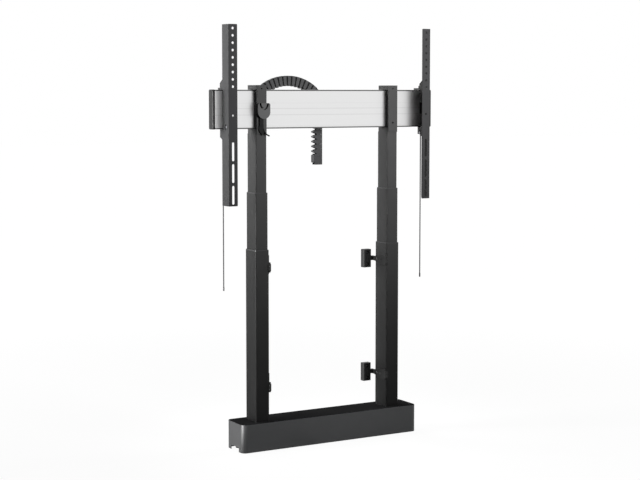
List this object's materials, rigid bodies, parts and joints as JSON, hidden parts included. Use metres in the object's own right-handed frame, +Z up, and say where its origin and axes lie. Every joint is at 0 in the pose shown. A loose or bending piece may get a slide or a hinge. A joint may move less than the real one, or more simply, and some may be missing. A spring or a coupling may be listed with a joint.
{
  "type": "tv lift mechanism",
  "caption": "Motorised TV lift: low base, twin telescopic columns, crossbar with hanging display strips, release cords and a cable chain.",
  "frame": {"origin": "on the floor, under the middle of the base and of the whole lift's width and depth", "axes": "+X to the right along the crossbar as the viewer faces the display side, +Y back towards the wall, +Z up the columns"},
  "size_m": [0.908, 0.132, 1.5],
  "materials": {
    "base_black": "fine satin powder coat",
    "steel_plate": "zinc-plated sheet",
    "foot_rubber": "matt moulded rubber",
    "inner_plastic": "moulded black plastic",
    "collar_plastic": "moulded glide plastic",
    "bracket_black": "satin powder coat",
    "bar_aluminium": "fine satin anodised",
    "cap_plastic": "moulded plastic, fine grain",
    "chain_plastic": "moulded nylon",
    "hanger_plastic": "moulded plastic, fine grain",
    "column_black": "satin powder coat",
    "head_black": "satin powder coat over a casting",
    "gearbox_metal": "bare die casting",
    "motor_steel": "plated steel can",
    "screw_steel": "greased rolled steel",
    "nut_brass": "turned brass",
    "strip_black": "satin powder coat",
    "latch_plastic": "moulded plastic",
    "pin_steel": "zinc-plated",
    "cord_grey": "braided cord",
    "tip_black": "crimped plastic sleeve"
  },
  "bodies": {
    "root": {"base_cover": "base_black", "base_plate": "steel_plate", "levelling_feet": "foot_rubber", "control_box": "inner_plastic", "power_inlet": "inner_plastic", "motor_saddles": "inner_plastic", "column_flanges": "steel_plate", "outer_tube_left": "column_black", "outer_tube_right": "column_black", "outer_collars": "collar_plastic", "gearbox_left": "gearbox_metal", "gearbox_right": "gearbox_metal", "motor_left": "motor_steel", "motor_right": "motor_steel", "wall_blocks": "bracket_black", "bracket_arms_left": "bracket_black", "bracket_arms_right": "bracket_black"},
    "lower_screw_left": {"lower_screw_left": "screw_steel"},
    "middle_left": {"middle_tube_left": "column_black", "middle_collar_left": "collar_plastic", "middle_plug_left": "collar_plastic", "lower_nut_left": "nut_brass"},
    "upper_screw_left": {"upper_screw_left": "screw_steel"},
    "lower_screw_right": {"lower_screw_right": "screw_steel"},
    "middle_right": {"middle_tube_right": "column_black", "middle_collar_right": "collar_plastic", "middle_plug_right": "collar_plastic", "lower_nut_right": "nut_brass"},
    "upper_screw_right": {"upper_screw_right": "screw_steel"},
    "carriage": {"inner_tube_left": "column_black", "inner_tube_right": "column_black", "inner_plug_left": "collar_plastic", "inner_plug_right": "collar_plastic", "upper_nut_left": "nut_brass", "upper_nut_right": "nut_brass", "column_head_left": "head_black", "column_head_right": "head_black", "crossbar": "bar_aluminium", "clamp_blocks": "bracket_black", "end_caps": "cap_plastic", "chain_arch": "chain_plastic", "chain_anchor": "chain_plastic", "hanger_plate": "hanger_plastic", "hanger_tongue": "hanger_plastic"},
    "strip_left": {"display_strip_left": "strip_black", "strip_hook_left": "strip_black", "latch_pins_left": "pin_steel"},
    "latch_left": {"latch_left": "latch_plastic", "pull_cord_left": "cord_grey", "cord_tip_left": "tip_black"},
    "strip_right": {"display_strip_right": "strip_black", "strip_hook_right": "strip_black", "latch_pins_right": "pin_steel"},
    "latch_right": {"latch_right": "latch_plastic", "pull_cord_right": "cord_grey", "cord_tip_right": "tip_black"},
    "chain_tail_1": {"chain_tail_1": "chain_plastic"},
    "chain_tail_2": {"chain_tail_2": "chain_plastic"},
    "chain_tail_3": {"chain_tail_3": "chain_plastic", "chain_end": "chain_plastic"}
  },
  "joints": [
    {"name": "lift", "type": "slide", "parent": "root", "child": "middle_left", "axis": [0, 0, 1], "range_m": [-0.19, 0.14]},
    {"name": "right_middle_slide", "type": "slide", "parent": "root", "child": "middle_right", "axis": [0, 0, 1], "range_m": [-0.19, 0.14]},
    {"name": "carriage_slide", "type": "slide", "parent": "middle_left", "child": "carriage", "axis": [0, 0, 1], "range_m": [-0.19, 0.14]},
    {"name": "lower_screw_left_spin", "type": "hinge", "parent": "root", "child": "lower_screw_left", "pos_m": [-0.273, 0, 0.1], "axis": [0, 0, 1], "continuous": true},
    {"name": "upper_screw_left_spin", "type": "hinge", "parent": "middle_left", "child": "upper_screw_left", "pos_m": [-0.273, 0, 0.3], "axis": [0, 0, 1], "continuous": true},
    {"name": "lower_screw_right_spin", "type": "hinge", "parent": "root", "child": "lower_screw_right", "pos_m": [0.273, 0, 0.1], "axis": [0, 0, 1], "continuous": true},
    {"name": "upper_screw_right_spin", "type": "hinge", "parent": "middle_right", "child": "upper_screw_right", "pos_m": [0.273, 0, 0.3], "axis": [0, 0, 1], "continuous": true},
    {"name": "strip_left_slide", "type": "slide", "parent": "carriage", "child": "strip_left", "axis": [1, 0, 0], "range_m": [-0.025, 0.08]},
    {"name": "latch_left_pull", "type": "slide", "parent": "strip_left", "child": "latch_left", "axis": [0, 0, 1], "range_m": [-0.008, 0], "stiffness_N_per_m": 400, "springref_m": 0.004},
    {"name": "strip_right_slide", "type": "slide", "parent": "carriage", "child": "strip_right", "axis": [1, 0, 0], "range_m": [-0.08, 0.025]},
    {"name": "latch_right_pull", "type": "slide", "parent": "strip_right", "child": "latch_right", "axis": [0, 0, 1], "range_m": [-0.008, 0], "stiffness_N_per_m": 400, "springref_m": 0.004},
    {"name": "chain_bend_1", "type": "hinge", "parent": "carriage", "child": "chain_tail_1", "pos_m": [-0.00158, 0.0435, 1.23887], "axis": [0, 1, 0], "range_deg": [-17, 8]},
    {"name": "chain_bend_2", "type": "hinge", "parent": "chain_tail_1", "child": "chain_tail_2", "pos_m": [-0.00158, 0.0435, 1.16827], "axis": [0, 1, 0], "range_deg": [0, 24]},
    {"name": "chain_bend_3", "type": "hinge", "parent": "chain_tail_2", "child": "chain_tail_3", "pos_m": [-0.00158, 0.0435, 1.09767], "axis": [0, 1, 0], "range_deg": [0, 24]}
  ],
  "couplings": [
    {"joint": "right_middle_slide", "follows": "lift", "ratio": 1},
    {"joint": "carriage_slide", "follows": "lift", "ratio": 1},
    {"joint": "lower_screw_left_spin", "follows": "lift", "rad_per_m": 392.7},
    {"joint": "upper_screw_left_spin", "follows": "lift", "rad_per_m": 392.7},
    {"joint": "lower_screw_right_spin", "follows": "lift", "rad_per_m": 392.7},
    {"joint": "upper_screw_right_spin", "follows": "lift", "rad_per_m": 392.7}
  ]
}
